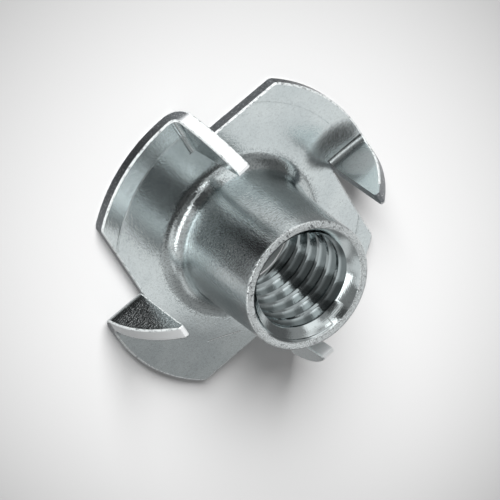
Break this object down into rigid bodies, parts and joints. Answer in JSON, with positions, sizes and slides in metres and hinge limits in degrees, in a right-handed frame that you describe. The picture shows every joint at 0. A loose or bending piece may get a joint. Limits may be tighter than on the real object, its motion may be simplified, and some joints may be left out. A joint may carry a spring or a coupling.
{
  "type": "prong tee nut",
  "caption": "Prong tee nut: round flange with folded-up prongs around a drawn, threaded barrel; driven into wood to take a machine bolt.",
  "frame": {"origin": "on the barrel axis, in the plane of the flange's flat back, where the nut stands", "axes": "+Z along the barrel from the flange to the mouth; +X square to one of the straight shear cuts"},
  "size_m": [0.022, 0.022, 0.01],
  "materials": {
    "zinc_plate": "bright zinc plate on pressed steel, slightly grainy"
  },
  "bodies": {
    "root": {"tee_nut": "zinc_plate"}
  },
  "joints": []
}
